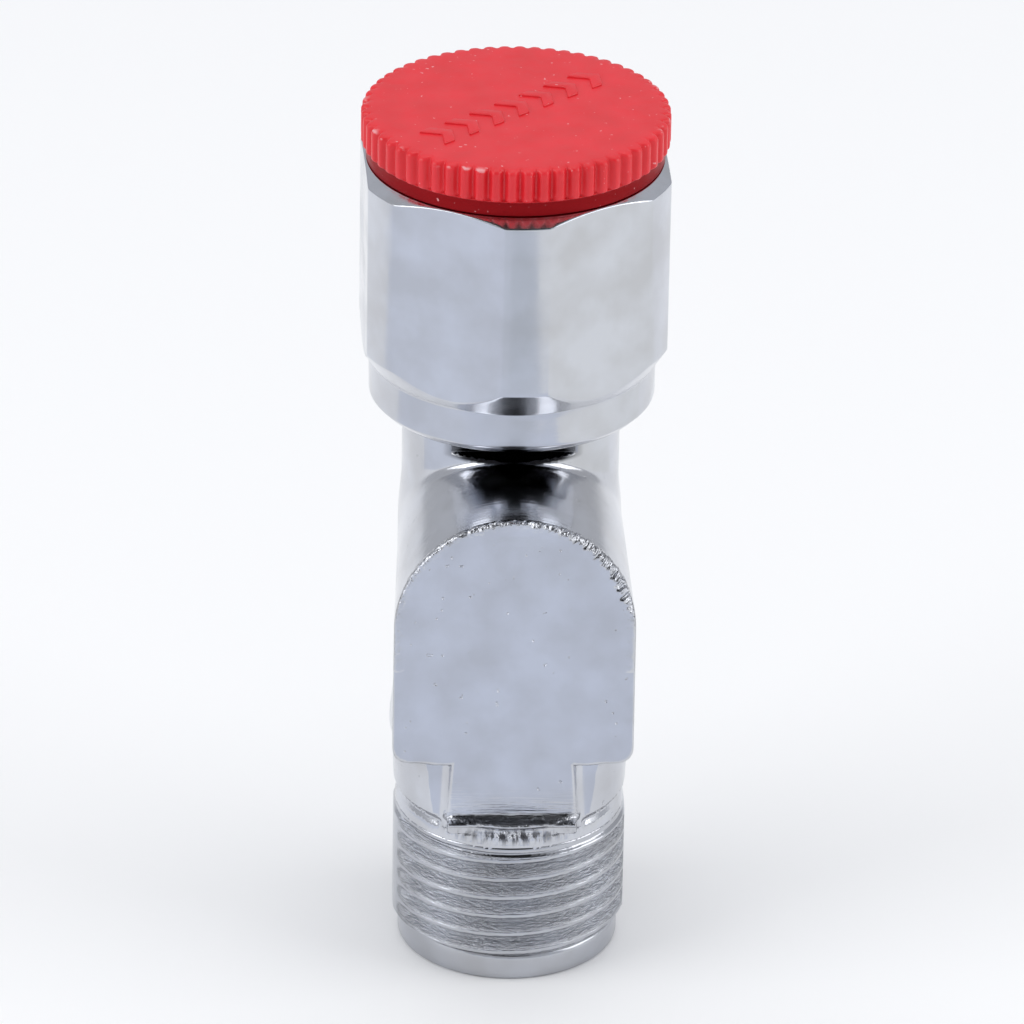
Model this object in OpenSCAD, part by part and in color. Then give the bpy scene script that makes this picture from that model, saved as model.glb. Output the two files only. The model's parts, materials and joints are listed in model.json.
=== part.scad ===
// Automatic air vent: an eccentric brass body with a float chamber, a G1/2 male inlet below,
// a captive M22 x 1.5 union nut above and a knurled plug that closes the discharge.
// Millimetres, +Z up. The origin is on the inlet axis at the foot of the pilot.
// The blind boss faces -Y, and the neck stands behind the inlet at y = eccentricity.

/* [Inlet] */
// Radius over the truncated crests of the G1/2 inlet thread
inlet_crest_r = 10.3; // [10.1:0.05:10.4]
// Radius at the thread roots
inlet_root_r = 9.32; // [9.2:0.02:9.6]
// Thread pitch, 14 turns to the inch
inlet_pitch = 1.814; // [1.7:0.001:1.9]
// Number of thread ridges
inlet_ridges = 6; // [4:1:6]
// Radius of the plain pilot below the thread
pilot_r = 9.65; // [9.4:0.05:9.8]
// Height of the pilot
pilot_h = 2.3; // [1.5:0.1:2.4]
// Radius of the water passage
inlet_bore_r = 6.5; // [6:0.1:7]

/* [Body] */
// Distance from the inlet axis back to the neck axis
eccentricity = 11; // [9:0.5:12]
// Distance from the inlet axis forward to the boss face
face_offset = 8.6; // [8:0.1:9.4]
// Height of the ledge where the flat face ends
ledge_z = 15.6; // [15:0.1:16.5]
// Height of the underside of the block
block_z = 20.9; // [20:0.1:22]
// Height of the centre of the arch on the face
arch_z = 34; // [33:0.1:35]
// Radius of the arch on the face
arch_r = 10.4; // [10:0.1:10.8]
// Radius of the arched boss where it meets the neck
boss_back_r = 9.7; // [9.5:0.1:10.2]
// Upward tilt of the boss towards the neck, in degrees
boss_tilt = 5; // [3:0.5:7]
// Outside radius of the neck
neck_r = 9.5; // [9.2:0.1:9.8]
// Height of the sealing rim at the top of the neck
neck_top_z = 58; // [57:0.5:59]

/* [Union nut] */
// Distance across the flats of the hexagon
nut_flats = 26; // [25.8:0.1:26.4]
// Radius to which the corners are turned
nut_corner_r = 14; // [13.7:0.1:14.4]
// Radius of the round collar below the hexagon
nut_collar_r = 12.47; // [12.2:0.01:12.8]
// Height of the bottom of the collar
nut_bottom_z = 47.2; // [46.8:0.1:47.8]
// Height of the top of the nut
nut_top_z = 69.9; // [69:0.1:71]
// Turn of the front corner towards +X, in degrees
nut_turn = 3; // [-15:1:15]
// Nominal radius of the M22 x 1.5 discharge thread
union_major_r = 11; // [10.9:0.05:11.1]
// Pitch of the discharge thread
union_pitch = 1.5; // [1.4:0.05:1.6]

/* [Plug] */
// Radius over the ribs of the plug
plug_r = 13.3; // [13:0.1:13.6]
// Radius of the smooth shoulder below the ribs
plug_shoulder_r = 12.9; // [12.4:0.05:12.95]
// Height of the ribbed head
plug_head_h = 3; // [2.6:0.1:3.4]
// Height of the smooth shoulder
plug_shoulder_h = 1.4; // [1.2:0.1:1.6]
// Number of ribs
plug_ribs = 60; // [48:1:66]

/* [Float gear] */
// Radius of the float
float_r = 5.6; // [5.2:0.1:5.7]
// Height of the float
float_h = 13; // [11:0.5:13.5]
// Distance from the lever pin to the float stem
lever_arm = 8.2; // [8:0.1:8.4]
// Travel of the float from open to shut
float_travel = 2.1; // [1.5:0.1:2.1]

/* [Hidden] */
$fn = 96;
clear = 0.3;          // gap between pieces that move past each other
run_fit = 0.05;       // radial gap of a running fit
eps = 0.01;

// Inlet thread heights
ridge_flat = 0.3;
ridge_slope = (inlet_pitch - ridge_flat - 0.2) / 2;
first_ridge_z = pilot_h + ridge_flat / 2 + ridge_slope;
relief_r = 10;
relief_z = first_ridge_z + (inlet_ridges - 1) * inlet_pitch + ridge_flat / 2 + ridge_slope;
side_flat = 10.15;

// Bores of the body
inlet_bore_top_z = 36;
chamber_r = 6.2;
chamber_floor_z = 29;
gear_bore_r = 7.5;
gear_bore_z = 49;
shoulder_y = eccentricity - 7.7;
shoulder_z = 45.2;
shoulder_top_z = 48.5;
slope_start_y = 8;
slope_deg = 26;

// Retaining wire of the nut
wire_r = 0.6;
wire_ring_r = neck_r;
wire_z = 52.15;

// Nut
nut_chamfer_deg = 30;
nut_under_deg = 58;
nut_rim_r = nut_flats / 2 - 0.05;
nut_lip_z = 51.2;
nut_collar_z = nut_lip_z - 0.1;
nut_thread_z = 54;
union_minor_r = 10.19;
nut_lip_bore_r = neck_r + 0.1;

// Plug heights
plug_z = nut_top_z + 0.05;
plug_head_z = plug_z + plug_shoulder_h;
plug_face_z = plug_head_z + plug_head_h;
plug_mark_h = 0.2;
plug_shank_r = union_minor_r - 0.09;
plug_hollow_r = 7.8;
seal_z = neck_top_z + 0.05;
seal_t = 2;
plug_shank_z = seal_z + seal_t + clear;

// Head insert and nozzle
head_z = 53;
head_top_z = neck_top_z - 0.1;
nozzle_r = 2.2;
head_groove_z = 54.6;
head_groove_h = 1.8;

// Lever gear, seen from the front: pin on the left, float stem on the right
pin_r = 0.5;
pin_z = 48.6;
stem_x = 4;
pin_x = stem_x - lever_arm;
lever_t = 0.8;
lever_w = 2.4;
cheek_t = 0.6;
bracket_plate_t = 0.6;
stem_r = 0.4;
stem_hole_r = stem_r + 0.55;
float_z = 30.6;
pad_r = 1.2;
pad_centre_z = 0.1;    // height of the pad's dome centre above the pin
pad_gap = 0.09;
shut_deg = float_travel / lever_arm * 180 / PI;
nozzle_tip_z = pin_z - pin_x * sin(shut_deg) + pad_centre_z * cos(shut_deg) + pad_r + pad_gap;

// Check cartridge in the inlet bore
ring_z = 5;
ring_t = 0.8;
strainer_z = ring_z + ring_t;
strainer_t = 0.5;
cage_z = strainer_z + strainer_t;
cage_top_z = cage_z + 11;
cage_r = inlet_bore_r - 0.05;
cage_inner_r = 4.9;
seat_r = 3.2;
seat_z = cage_z + 1.5;
guide_z = cage_top_z - 1.5;
poppet_r = 4.2;
poppet_stem_r = 0.8;
poppet_disc_z = seat_z + 0.6;
spring_r = 2.9;
spring_wire_r = 0.3;
spring_turns = 5;
spring_z = poppet_disc_z + 1 + 0.05;
spring_top_z = guide_z - 0.05;

CHROME = [0.80, 0.82, 0.85];
BRASS = [0.80, 0.65, 0.32];
STEEL = [0.66, 0.67, 0.69];
RED = [0.86, 0.13, 0.15];
RUBBER = [0.10, 0.10, 0.11];
WHITE = [0.90, 0.89, 0.85];

// ---- shared shapes ---------------------------------------------------------------------------

// Moves a child from the inlet axis to the neck axis
module on_neck() translate([0, eccentricity, 0]) children();

// A plain cylinder between two heights
module post(r, z0, z1) translate([0, 0, z0]) cylinder(r = r, h = z1 - z0);

// A flat ring between two heights
module washer(outer, inner, z0, z1)
    translate([0, 0, z0]) rotate_extrude() translate([inner, 0]) square([outer - inner, z1 - z0]);

// A round-section ring
module o_ring(ring_r, section_r, z)
    translate([0, 0, z]) rotate_extrude() translate([ring_r, 0]) circle(r = section_r, $fn = 32);

// Outline points of parallel ridges: each ridge rises from root to crest and falls again
function ridges(first_z, pitch, count, crest, root, flat, slope) =
    [for (i = [0 : count - 1]) for (p = [[root, -flat / 2 - slope], [crest, -flat / 2],
                                         [crest, flat / 2], [root, flat / 2 + slope]])
        [p[0], first_z + i * pitch + p[1]]];

// ---- body ------------------------------------------------------------------------------------

// Pilot, thread and relief, turned in one profile
module inlet_turning()
    intersection() {
        rotate_extrude()
            polygon(concat([[0, 0], [pilot_r, 0], [pilot_r, pilot_h]],
                           ridges(first_ridge_z, inlet_pitch, inlet_ridges, inlet_crest_r,
                                  inlet_root_r, ridge_flat, ridge_slope),
                           [[relief_r, relief_z], [relief_r, relief_z + 1.2],
                            [relief_r - 0.25, ledge_z - 0.6], [relief_r + 0.2, ledge_z],
                            [relief_r + 0.5, block_z + 1], [0, block_z + 1]]));
        translate([-side_flat, -20, 0]) cube([2 * side_flat, 40, block_z + 1]);
    }

// Arched block: a straight-sided prism that tapers towards the neck, under a true cone
module arched_block() {
    length = eccentricity + face_offset + 4;
    skirt = arch_z - block_z + 6;
    back_r = arch_r - (arch_r - boss_back_r) * length / (eccentricity + face_offset);
    intersection() {
        translate([0, -face_offset, arch_z]) rotate([boss_tilt, 0, 0]) translate([0, -2, 0]) {
            rotate([-90, 0, 0]) cylinder(r1 = arch_r, r2 = back_r, h = length);
            translate([0, 0, -skirt]) linear_extrude(skirt)
                polygon([[-arch_r, 0], [arch_r, 0], [back_r, length], [-back_r, length]]);
        }
        translate([-20, -face_offset, block_z]) cube([40, eccentricity + face_offset, 40]);
    }
}

module body() color(CHROME) difference() {
    union() {
        difference() {
            union() {
                inlet_turning();
                arched_block();
                on_neck() post(neck_r, block_z, neck_top_z);
            }
            // the flat face, cut down to the ledge
            translate([-20, -face_offset - 10, ledge_z]) cube([40, 10, 40]);
            // sloping underside below the neck
            translate([0, slope_start_y, block_z]) rotate([slope_deg, 0, 0])
                translate([-20, 0, -20]) cube([40, 40, 20]);
            // flat shoulder in front of the neck, under the nut
            translate([-20, shoulder_y - 10, shoulder_z]) cube([40, 10, shoulder_top_z - shoulder_z]);
        }
    }
    post(inlet_bore_r, -1, inlet_bore_top_z);
    on_neck() post(chamber_r, chamber_floor_z, neck_top_z + 1);
    on_neck() post(gear_bore_r, gear_bore_z, neck_top_z + 1);
    on_neck() o_ring(wire_ring_r, wire_r, wire_z);
    washer(inlet_bore_r + 0.4, inlet_bore_r - 1, ring_z - 0.05, ring_z + ring_t + 0.05);
}

// ---- union nut and its wire ------------------------------------------------------------------

module nut_outside() intersection() {
    rotate_extrude()
        polygon([[0, nut_bottom_z], [nut_collar_r - 0.67, nut_bottom_z],
                 [nut_collar_r, nut_bottom_z + 0.7], [nut_collar_r, nut_collar_z],
                 [nut_corner_r, nut_collar_z + (nut_corner_r - nut_collar_r) * tan(nut_under_deg)],
                 [nut_corner_r, nut_top_z - (nut_corner_r - nut_rim_r) * tan(nut_chamfer_deg)],
                 [nut_rim_r, nut_top_z], [0, nut_top_z]]);
    union() {
        post(nut_flats / 2, nut_bottom_z - 1, nut_lip_z);
        rotate([0, 0, nut_turn - 90]) translate([0, 0, nut_collar_z])
            cylinder(r = nut_flats / sqrt(3), h = nut_top_z, $fn = 6);
    }
}

module nut_inside() {
    groove_count = floor((nut_top_z - nut_thread_z) / union_pitch);
    slope = union_pitch / 2 - 0.15;
    rotate_extrude()
        polygon(concat([[0, nut_bottom_z - 1], [nut_lip_bore_r, nut_bottom_z - 1],
                        [nut_lip_bore_r, nut_lip_z], [union_major_r + 0.2, nut_lip_z],
                        [union_major_r + 0.2, nut_thread_z - 0.8], [union_minor_r, nut_thread_z]],
                       ridges(nut_thread_z + union_pitch / 2, union_pitch, groove_count,
                              union_major_r, union_minor_r, 0.2, slope),
                       [[union_minor_r, nut_top_z - 0.9], [union_major_r + 0.1, nut_top_z + eps],
                        [union_major_r + 0.1, nut_top_z + 1], [0, nut_top_z + 1]]));
}

module union_nut() color(CHROME) on_neck() difference() {
    nut_outside();
    nut_inside();
}

// Open wire ring in the groove of the neck: the lip of the nut bears on it
module nut_snap_ring() color(STEEL) on_neck() difference() {
    o_ring(wire_ring_r, wire_r, wire_z);
    translate([-1, 0, wire_z - 2]) cube([2, 20, 4]);
}

// ---- plug ------------------------------------------------------------------------------------

module rib_outline() difference() {
    circle(r = plug_r);
    for (i = [0 : plug_ribs - 1]) rotate(i * 360 / plug_ribs)
        translate([plug_r + 0.05, 0]) circle(r = 0.32, $fn = 24);
}

// Generic raised mark: a row of chevrons across the top
module chevrons() for (i = [-3 : 3]) translate([i * 2.9, 0])
    polygon([[-1.2, -1.6], [0, -1.6], [1.2, 0], [0, 1.6], [-1.2, 1.6], [0, 0]]);

module screw_plug() {
    groove_count = floor((plug_z - 1.2 - plug_shank_z) / union_pitch);
    color(RED) on_neck() difference() {
        union() {
            rotate_extrude()
                polygon(concat([[0, plug_shank_z], [plug_shank_r - 0.9, plug_shank_z]],
                               ridges(plug_shank_z + union_pitch / 2, union_pitch, groove_count,
                                      plug_shank_r, plug_shank_r - 0.9, 0.3, 0.5),
                               [[plug_shank_r - 0.9, plug_z], [plug_shoulder_r, plug_z],
                                [plug_shoulder_r, plug_head_z + eps], [0, plug_head_z + eps]]));
            translate([0, 0, plug_head_z]) linear_extrude(plug_head_h) rib_outline();
            translate([0, 0, plug_face_z - eps]) rotate(42)
                linear_extrude(plug_mark_h + eps) chevrons();
        }
        post(plug_hollow_r, plug_shank_z - 1, plug_head_z);
    }
}

// Rubber disc snapped into the hollow of the plug: it slides with the plug but does not turn
module plug_seal_disc() color(RUBBER) on_neck() {
    post(9.2, seal_z, seal_z + seal_t);
    post(plug_hollow_r - 0.1, seal_z + seal_t - eps, seal_z + seal_t + 3);
}

// ---- head, nozzle and float gear ---------------------------------------------------------------

module vent_head() color(BRASS) on_neck() difference() {
    post(gear_bore_r - 0.03, head_z, head_top_z);
    post(nozzle_r, head_z - 1, head_top_z + 1);
    washer(gear_bore_r + 1, gear_bore_r - 1.6, head_groove_z, head_groove_z + head_groove_h);
}

module head_o_ring() color(RUBBER) on_neck()
    o_ring(gear_bore_r - 0.78, 0.75, head_groove_z + head_groove_h / 2);

module vent_nozzle() color(BRASS) on_neck() difference() {
    union() {
        post(nozzle_r, head_z, head_top_z);
        translate([0, 0, nozzle_tip_z]) cylinder(r1 = 0.9, r2 = 1.7, h = head_z - nozzle_tip_z + eps);
    }
    post(0.4, nozzle_tip_z - 1, head_top_z + 1);
    post(1.2, head_z + 1, head_top_z + 1);
}

// Two cheeks under a top plate; the plate is clamped below the head by the nozzle
module lever_bracket() color(STEEL) on_neck() difference() {
    union() {
        translate([pin_x - 1.1, -3, head_z - bracket_plate_t])
            cube([2.4 - pin_x + 1.1, 6, bracket_plate_t]);
        for (side = [-1, 1])
            translate([pin_x - 1.1, side * (lever_w / 2 + clear + cheek_t / 2) - cheek_t / 2, pin_z - 1.2])
                cube([2.3, cheek_t, head_z - pin_z + 1.2 - eps]);
    }
    post(1.9, head_z - 2, head_z + 1);
    translate([pin_x, 0, pin_z]) rotate([90, 0, 0]) cylinder(r = pin_r, h = 10, center = true);
}

module lever_pin() color(STEEL) on_neck() translate([pin_x, 0, pin_z])
    rotate([90, 0, 0]) cylinder(r = pin_r, h = lever_w + 2 * (clear + cheek_t) + 0.8, center = true);

module float_lever() color(BRASS) on_neck() difference() {
    union() {
        translate([pin_x, 0, pin_z]) rotate([90, 0, 0]) cylinder(r = 1.05, h = lever_w, center = true);
        translate([pin_x, -lever_w / 2, pin_z - lever_t / 2]) cube([lever_arm + 1.4, lever_w, lever_t]);
    }
    translate([pin_x, 0, pin_z]) rotate([90, 0, 0]) cylinder(r = pin_r + run_fit, h = 10, center = true);
    translate([stem_x, 0, pin_z - 2]) cylinder(r = stem_hole_r, h = 4);
    post(0.6, pin_z - 2, pin_z + 2);
}

// Domed rubber pad buttoned through the lever under the nozzle
module valve_pad() color(RUBBER) on_neck() {
    intersection() {
        translate([0, 0, pin_z + pad_centre_z]) sphere(r = pad_r);
        post(pad_r + 0.1, pin_z + lever_t / 2, pin_z + 2);
    }
    post(0.6, pin_z - lever_t / 2 - eps, pin_z + lever_t / 2 + eps);
    post(1, pin_z - lever_t / 2 - 0.5, pin_z - lever_t / 2);
}

module float() color(WHITE) on_neck() difference() {
    rotate_extrude() {
        translate([0, float_z + 1]) square([float_r, float_h - 2]);
        translate([0, float_z]) square([float_r - 1, float_h]);
        for (z = [float_z + 1, float_z + float_h - 1])
            translate([float_r - 1, z]) circle(r = 1, $fn = 32);
    }
    translate([stem_x, 0, float_z + float_h - 3]) cylinder(r = stem_r, h = 4, $fn = 32);
}

// Wire stem fixed in the float, with a collar below the lever and a head above it
module float_stem() color(STEEL) on_neck() translate([stem_x, 0, 0]) {
    post(stem_r, float_z + float_h - 3, pin_z + 1.7);
    post(1.3, pin_z - 1.5, pin_z - 0.9);
    post(1.3, pin_z + 1.1, pin_z + 1.7);
}

// ---- check cartridge ---------------------------------------------------------------------------

module check_cage() color(WHITE) difference() {
    union() {
        difference() {
            post(cage_r, cage_z, cage_top_z);
            post(seat_r, cage_z - 1, seat_z + 1);
            post(cage_inner_r, seat_z, cage_top_z + 1);
            washer(cage_r + 1, cage_r - 0.9, cage_z + 3, cage_z + 4.6);
        }
        post(1.8, guide_z, cage_top_z);
        intersection() {
            post(cage_r - 0.2, guide_z, cage_top_z);
            for (a = [0 : 120 : 240]) rotate(a) translate([0, -0.6, guide_z])
                cube([cage_r, 1.2, cage_top_z - guide_z]);
        }
    }
    post(poppet_stem_r + run_fit, guide_z - 1, cage_top_z + 1);
}

module cage_o_ring() color(RUBBER) o_ring(cage_r - 0.42, 0.42, cage_z + 3.8);

module check_poppet() color(WHITE) {
    post(poppet_r, poppet_disc_z, poppet_disc_z + 1);
    post(2, seat_z + 0.05, poppet_disc_z + eps);
    post(poppet_stem_r, poppet_disc_z + 1 - eps, cage_top_z + 1);
}

module poppet_seal() color(RUBBER) washer(poppet_r - 0.1, 2, seat_z + 0.05, poppet_disc_z);

// Points of one wire section along the helix
function wire_section(turn, sides) =
    [for (s = [0 : sides - 1])
        let (a = s * 360 / sides, r = spring_r + spring_wire_r * cos(a))
        [r * cos(turn * 360), r * sin(turn * 360),
         spring_z + spring_wire_r + (spring_top_z - spring_z - 2 * spring_wire_r) * turn / spring_turns
         + spring_wire_r * sin(a)]];

module check_spring() {
    sides = 8;
    steps = spring_turns * 20;
    rings = steps + 1;
    color(STEEL) polyhedron(
        points = [for (i = [0 : steps]) for (p = wire_section(i / 20, sides)) p],
        faces = concat(
            [[for (s = [0 : sides - 1]) s]],
            [for (i = [0 : steps - 1]) for (s = [0 : sides - 1])
                [i * sides + s, (i + 1) * sides + s,
                 (i + 1) * sides + (s + 1) % sides, i * sides + (s + 1) % sides]],
            [[for (s = [sides - 1 : -1 : 0]) (rings - 1) * sides + s]]));
}

module strainer() color(STEEL) difference() {
    post(cage_r, strainer_z, strainer_z + strainer_t - eps);
    post(0.55, strainer_z - 1, strainer_z + 2);
    for (ring = [1 : 2]) for (i = [0 : 6 * ring - 1]) rotate(i * 60 / ring)
        translate([1.9 * ring, 0, strainer_z - 1]) cylinder(r = 0.55, h = 3, $fn = 24);
}

module cage_retaining_ring() color(STEEL) difference() {
    washer(inlet_bore_r + 0.35, inlet_bore_r - 0.9, ring_z, ring_z + ring_t - eps);
    translate([-1.5, 0, ring_z - 1]) cube([3, 10, 3]);
}

body();
union_nut();
nut_snap_ring();
screw_plug();
plug_seal_disc();
vent_head();
head_o_ring();
vent_nozzle();
lever_bracket();
lever_pin();
float_lever();
valve_pad();
float();
float_stem();
check_cage();
cage_o_ring();
check_poppet();
poppet_seal();
check_spring();
strainer();
cage_retaining_ring();
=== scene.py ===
# %% [markdown]
# # An automatic air vent, finished around its fixed frame
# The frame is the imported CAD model: every node already sits where it belongs. This lesson adds
# the looks. The three pieces that are seen from outside, the body, the union nut and the plug,
# are rebuilt as fine surfaces with rounded edges, because a bright plated edge is only believable
# when it is truly round. The small pieces inside keep their CAD shape and get their materials.

import json
import math

import bpy
import numpy as np
from mathutils import Matrix, Vector


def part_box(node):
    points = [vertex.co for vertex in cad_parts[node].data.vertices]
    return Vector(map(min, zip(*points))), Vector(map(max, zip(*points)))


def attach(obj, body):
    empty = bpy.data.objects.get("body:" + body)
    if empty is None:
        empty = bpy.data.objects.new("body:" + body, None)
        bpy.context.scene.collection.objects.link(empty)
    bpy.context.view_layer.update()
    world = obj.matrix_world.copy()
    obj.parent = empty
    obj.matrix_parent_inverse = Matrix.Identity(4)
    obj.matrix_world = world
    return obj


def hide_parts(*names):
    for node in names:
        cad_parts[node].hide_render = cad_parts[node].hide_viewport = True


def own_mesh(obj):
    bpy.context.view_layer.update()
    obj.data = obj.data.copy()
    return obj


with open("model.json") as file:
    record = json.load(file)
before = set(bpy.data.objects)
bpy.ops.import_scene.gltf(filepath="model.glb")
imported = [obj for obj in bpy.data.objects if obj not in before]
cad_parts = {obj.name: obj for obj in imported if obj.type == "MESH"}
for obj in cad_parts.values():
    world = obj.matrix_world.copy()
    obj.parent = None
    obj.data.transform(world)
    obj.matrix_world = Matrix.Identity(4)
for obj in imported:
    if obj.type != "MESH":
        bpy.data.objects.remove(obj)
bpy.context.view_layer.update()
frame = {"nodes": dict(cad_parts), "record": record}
MM = 0.001

# %% [markdown]
# ## Driving sizes
# All sizes below are millimetres, as a machinist would read them. Heights that the CAD already
# fixes are read from the nodes' boxes, so a change there moves the looks with it.

# %% Read the sizes from the frame
def node_box(name):
    """Lowest and highest corner of a CAD node, in millimetres."""
    low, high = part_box(name)
    return np.array(low) / MM, np.array(high) / MM


body_high = node_box("body")[1]
nut_low, nut_high = node_box("union_nut")
plug_low, plug_high = node_box("screw_plug")
NECK_Y = (plug_low[1] + plug_high[1]) / 2
FACE_Y = -8.6
LEDGE_Z = 15.6
BLOCK_Z = 20.9
NECK_R = 9.5
NECK_TOP = body_high[2]
print(f"neck axis at y {NECK_Y:.2f}, neck top {NECK_TOP:.2f}, nut {nut_low[2]:.2f} to {nut_high[2]:.2f}")

# %% [markdown]
# ## From arrays to meshes
# A turned or ribbed piece is a grid: one parameter runs round the axis, the other along a
# profile. The helper below takes the whole grid of points as one array and writes the mesh in
# one go. Rows that shrink to the axis are merged into one point, so poles are closed.

# %% Grid and mesh helpers
def make_object(name, points, faces):
    """Mesh object from an array of points in millimetres and an array of corner indices."""
    mesh = bpy.data.meshes.new(name)
    mesh.from_pydata(points * MM, [], faces.tolist())
    mesh.update()
    item = bpy.data.objects.new(name, mesh)
    bpy.context.scene.collection.objects.link(item)
    mesh.shade_smooth()
    return item


def turned_grid(name, radius, height, angle, axis_y=0.0, ring=True):
    """Closed surface of revolution with a changing radius.

    radius[i, j] and height[i] give row i of the profile at angle[j]. Each point is
    (radius cos angle, axis_y + radius sin angle, height). With ring the last row joins the first,
    otherwise the first and last rows lie on the axis and become single points.
    """
    rows, columns = radius.shape
    x = radius * np.cos(angle)
    y = axis_y + radius * np.sin(angle)
    z = np.broadcast_to(height, radius.shape)
    points = np.stack([x, y, z], -1).reshape(-1, 3)
    row, column = np.meshgrid(np.arange(rows if ring else rows - 1), np.arange(columns), indexing="ij")
    after_row, after_column = (row + 1) % rows, (column + 1) % columns
    faces = np.stack([row * columns + column, row * columns + after_column,
                      after_row * columns + after_column, after_row * columns + column], -1)
    item = make_object(name, points, faces.reshape(-1, 4))
    merge_doubles(item)
    return item


def merge_doubles(item, distance=1e-7):
    """Welds points that coincide and turns every face outwards."""
    import bmesh
    mesh = bmesh.new()
    mesh.from_mesh(item.data)
    bmesh.ops.remove_doubles(mesh, verts=mesh.verts, dist=distance)
    bmesh.ops.dissolve_degenerate(mesh, edges=mesh.edges, dist=distance)
    bmesh.ops.recalc_face_normals(mesh, faces=mesh.faces)
    mesh.to_mesh(item.data)
    mesh.free()
    item.data.shade_smooth()


def refine(profile, step):
    """Points along a polyline profile, no further apart than step, with every corner kept."""
    corners = np.array(profile, float)
    parts = []
    for start, end in zip(corners[:-1], corners[1:]):
        count = max(1, math.ceil(np.hypot(*(end - start)) / step))
        parts.append(start + (end - start) * np.arange(count)[:, None] / count)
    return np.concatenate(parts + [corners[-1:]])


def soft_max(a, b, blend):
    """The larger of two fields, with the corner where they cross rounded over a width of blend."""
    share = np.clip(0.5 + 0.5 * (a - b) / blend, 0, 1)
    return b + (a - b) * share + blend * share * (1 - share)


def soft_min(a, b, blend):
    """The smaller of two fields, with the corner where they cross filled like a fillet."""
    return -soft_max(-a, -b, blend)


def finish_piece(item, body, slot, material, *nodes):
    """Gives a new piece its material, the CAD body it moves with and the nodes it stands for."""
    item.data.materials.clear()
    item.data.materials.append(material)
    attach(item, body)
    if nodes:
        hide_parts(*nodes)
    print(f"{item.name}: {len(item.data.polygons)} faces")
    return item

# %% [markdown]
# ## Camera
# A long lens looks down at about 27 degrees from nearly straight in front, as for a catalogue.

# %% Place the camera
CAMERA_ELEVATION = math.radians(27.12)
CAMERA_AZIMUTH = math.radians(-2.0)
CAMERA_ROLL = math.radians(1.0)
CAMERA_DISTANCE = 0.70
AIM = np.array([-0.00015, 0.0, 0.04103])
camera_data = bpy.data.cameras.new("camera")
camera_data.lens = 285.3
camera_data.clip_start = 0.01
camera = bpy.data.objects.new("camera", camera_data)
bpy.context.scene.collection.objects.link(camera)
direction = np.array([math.sin(CAMERA_AZIMUTH) * math.cos(CAMERA_ELEVATION),
                      -math.cos(CAMERA_AZIMUTH) * math.cos(CAMERA_ELEVATION),
                      math.sin(CAMERA_ELEVATION)])
camera.location = AIM + direction * CAMERA_DISTANCE
level = Matrix.Rotation(CAMERA_AZIMUTH, 3, "Z") @ Matrix.Rotation(math.pi / 2 - CAMERA_ELEVATION, 3, "X")
camera.rotation_euler = (level @ Matrix.Rotation(CAMERA_ROLL, 3, "Z")).to_euler()
bpy.context.scene.camera = camera
print("camera at", np.round(camera.location, 3))

# %% [markdown]
# ## Stage and light
# Plating shows its surroundings more than its own colour. A pale floor, a bright even sky and
# large soft panels give the broad light bands of a photo tent. Two black flags and a few tinted
# sheets on the floor are seen only in the plating, which needs something dark to look like metal.

# %% Build the floor, the sky and the panels
floor_mesh = bpy.data.meshes.new("floor")
FLOOR_HALF = 1.5
floor_corners = [(i * FLOOR_HALF, j * FLOOR_HALF, 0) for i, j in ((-1, -1), (1, -1), (1, 1), (-1, 1))]
floor_mesh.from_pydata(floor_corners, [], [(0, 1, 2, 3)])
floor = bpy.data.objects.new("floor", floor_mesh)
bpy.context.scene.collection.objects.link(floor)
floor_paint = bpy.data.materials.new("floor_paint")
floor_paint.use_nodes = True
floor_shader = floor_paint.node_tree.nodes["Principled BSDF"]
floor_shader.inputs["Base Color"].default_value = (0.96, 0.96, 0.96, 1)
floor_shader.inputs["Roughness"].default_value = 0.9
floor_mesh.materials.append(floor_paint)

world = bpy.data.worlds.new("tent")
world.use_nodes = True
world.node_tree.nodes["Background"].inputs["Color"].default_value = (0.93, 0.95, 1.0, 1)
world.node_tree.nodes["Background"].inputs["Strength"].default_value = 0.58
bpy.context.scene.world = world


def soft_panel(name, place, size, power, colour=(1, 1, 1)):
    """Square area light at place, facing the middle of the vent."""
    light = bpy.data.lights.new(name, "AREA")
    light.size = size
    light.energy = power
    light.color = colour
    item = bpy.data.objects.new(name, light)
    bpy.context.scene.collection.objects.link(item)
    item.location = place
    item.rotation_euler = (Vector((0, 0, 0.04)) - Vector(place)).to_track_quat("-Z", "Y").to_euler()
    return item


soft_panel("left_panel", (-0.75, -0.25, 0.45), 0.6, 2.4)
soft_panel("right_panel", (0.75, -0.15, 0.40), 0.6, 2.0)
soft_panel("top_panel", (0.0, 0.1, 0.9), 0.7, 2.4)


def dark_flag(name, azimuth, elevation, distance, width, height):
    """Black card that only reflections see, at a direction and distance from the vent."""
    turn, lift = math.radians(azimuth), math.radians(elevation)
    across = np.array([math.cos(turn), math.sin(turn), 0])
    towards = np.array([math.sin(turn) * math.cos(lift),
                        -math.cos(turn) * math.cos(lift),
                        math.sin(lift)])
    upright = np.cross(across, -towards)
    middle = np.array([0, 0, 0.045]) + towards * distance
    corners = [middle + across * i * width / 2 + upright * j * height / 2
               for i, j in ((-1, -1), (1, -1), (1, 1), (-1, 1))]
    mesh = bpy.data.meshes.new(name)
    mesh.from_pydata(corners, [], [(0, 1, 2, 3)])
    item = bpy.data.objects.new(name, mesh)
    bpy.context.scene.collection.objects.link(item)
    item.visible_camera = item.visible_diffuse = item.visible_shadow = False
    mesh.materials.append(card_black)


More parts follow.
